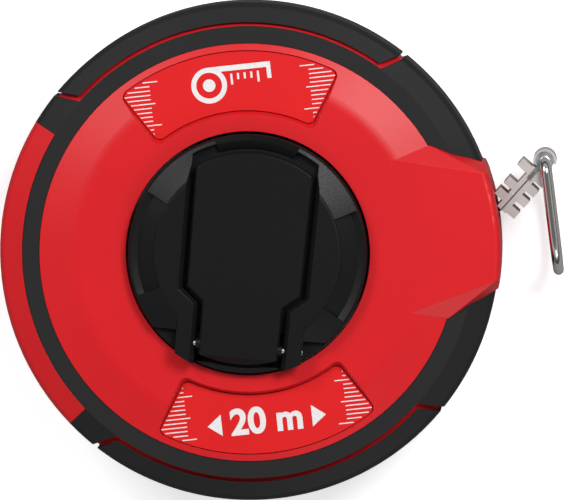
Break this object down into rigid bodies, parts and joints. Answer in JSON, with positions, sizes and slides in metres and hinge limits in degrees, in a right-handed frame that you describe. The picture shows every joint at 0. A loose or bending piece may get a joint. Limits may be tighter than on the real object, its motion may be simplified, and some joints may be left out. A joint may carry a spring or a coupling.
{
  "type": "closed case measuring tape",
  "caption": "Round long measuring tape in a closed case with rubber grips, a fold-out winding crank, and a tape end with a rubbery bumper and a swinging wire ring.",
  "frame": {"origin": "centre of the flat back face, on the axis of the reel", "axes": "+X towards the tape's mouth, +Z out of the front face along the reel's axis, +Y to the left of the mouth seen from the front"},
  "size_m": [0.1358, 0.12, 0.0354],
  "materials": {
    "red_case": "satin red ABS",
    "rubber": "fine grained soft over-mould",
    "label": "fine texture with white print",
    "black_plastic": "fine spark texture",
    "liner": "matte",
    "felt": "felt",
    "steel": "zinc plated",
    "polished_steel": "nickel plated wire",
    "reel": "matte",
    "blade": "lacquered steel blade",
    "clear_plastic": "milky translucent vinyl"
  },
  "bodies": {
    "case": {"front_shell": "red_case", "rear_shell": "red_case", "front_rubber_ring": "rubber", "rear_rubber_ring": "rubber", "upper_rim_grip": "rubber", "lower_rim_grip": "rubber", "upper_label_panel": "label", "lower_label_panel": "label", "case_screws": "steel", "mouth_liner": "liner", "upper_felt_wiper": "felt", "lower_felt_wiper": "felt", "rear_cap": "black_plastic", "spindle": "steel", "thrust_washer": "liner", "spindle_screw": "steel"},
    "reel": {"reel_drum": "reel", "front_flange": "reel", "drum_bush": "liner", "tape_coil": "blade", "crank_dial": "black_plastic", "dial_screws": "steel", "hinge_pin": "steel"},
    "crank": {"crank_arm": "black_plastic", "knob_axle": "steel"},
    "knob": {"crank_knob": "black_plastic"},
    "tape_end": {"tape_lead": "blade", "end_eye": "steel", "eye_sleeve": "clear_plastic", "bumper_upper": "clear_plastic", "bumper_lower": "clear_plastic", "bumper_rivets": "steel"},
    "ring": {"end_ring": "polished_steel"}
  },
  "joints": [
    {"name": "reel_spin", "type": "hinge", "parent": "case", "child": "reel", "pos_m": [0, 0, 0.015], "axis": [0, 0, 1], "range_deg": [0, 360]},
    {"name": "crank_fold", "type": "hinge", "parent": "reel", "child": "crank", "pos_m": [-0.00445, -0.02185, 0.034], "axis": [0.9799, -0.1994, 0], "range_deg": [0, 170]},
    {"name": "knob_spin", "type": "hinge", "parent": "crank", "child": "knob", "pos_m": [0.00259, 0.01274, 0.0266], "axis": [0, 0, 1], "continuous": true},
    {"name": "tape_pull", "type": "slide", "parent": "case", "child": "tape_end", "axis": [0.7431, 0.6691, 0], "range_m": [0, 0.242]},
    {"name": "ring_swing", "type": "hinge", "parent": "tape_end", "child": "ring", "pos_m": [0.07298, 0.01391, 0.015], "axis": [0, 0, 1], "range_deg": [-24, 224]}
  ],
  "couplings": [
    {"joint": "tape_pull", "follows": "reel_spin", "m_per_rad": 0.0385}
  ]
}
